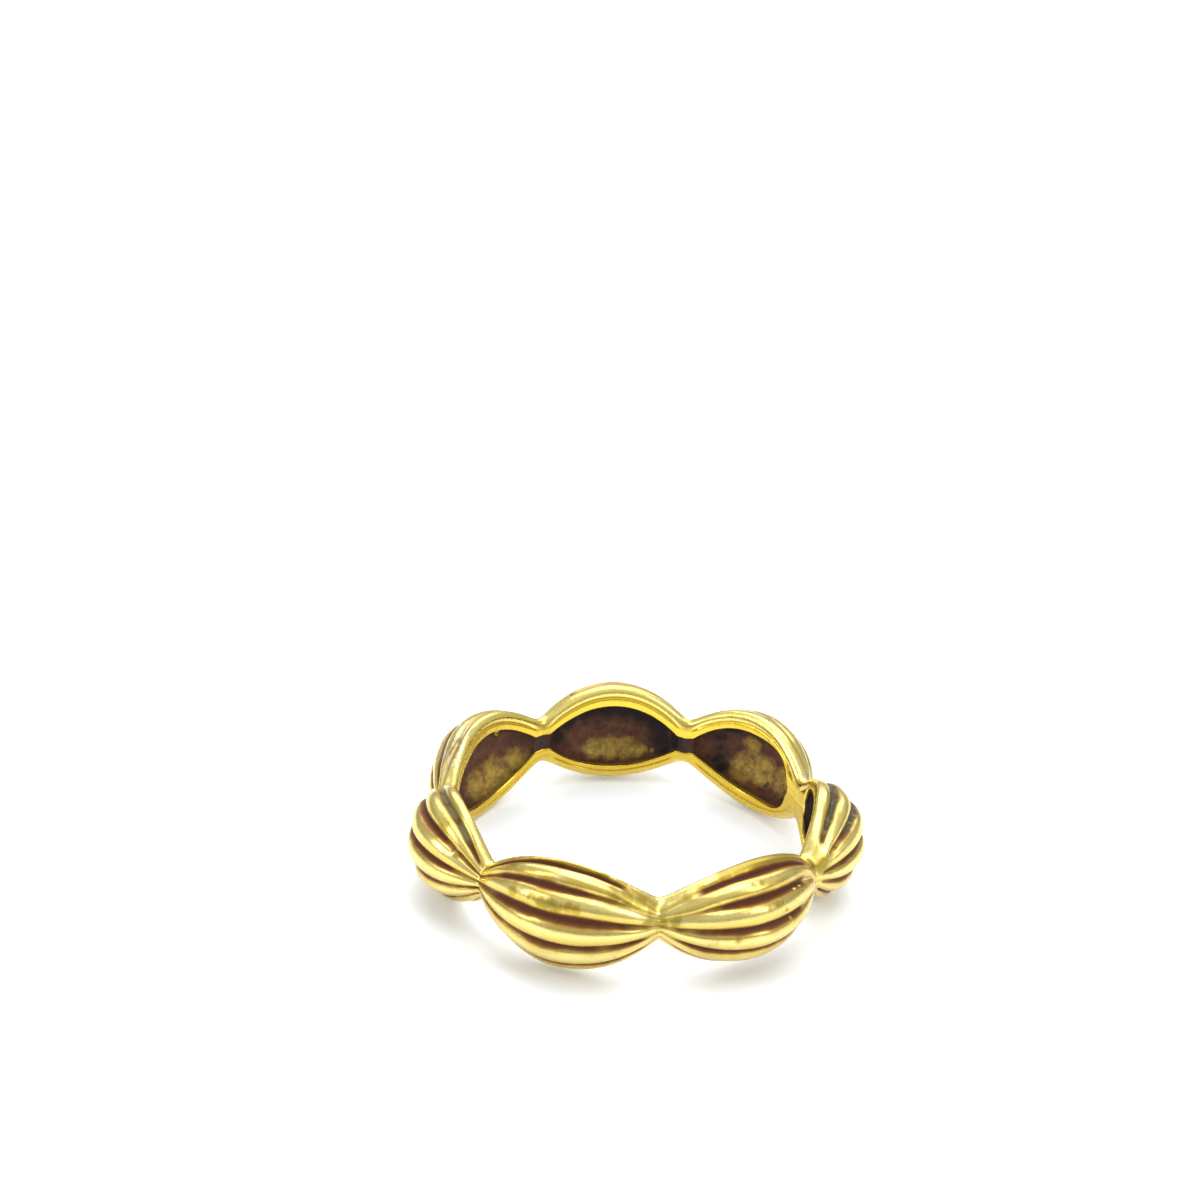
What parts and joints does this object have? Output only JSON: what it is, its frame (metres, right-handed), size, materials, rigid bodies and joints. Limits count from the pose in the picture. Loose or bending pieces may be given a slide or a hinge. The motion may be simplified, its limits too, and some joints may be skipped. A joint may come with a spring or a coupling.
{
  "type": "stackable ring",
  "caption": "Slim stackable finger ring of fluted, hollow-backed beads run together, with an antiqued gold finish.",
  "frame": {"origin": "centre of the finger hole, half way along the band's width", "axes": "+Z along the finger, up as the ring lies on its side; -Y towards the front, ten degrees past the waist where the first bead starts"},
  "size_m": [0.0218, 0.022, 0.0057],
  "materials": {
    "antique_gold": "polished antiqued gold, dark brown in the grooves and hollows"
  },
  "bodies": {
    "root": {"fluted_ring": "antique_gold"}
  },
  "joints": []
}
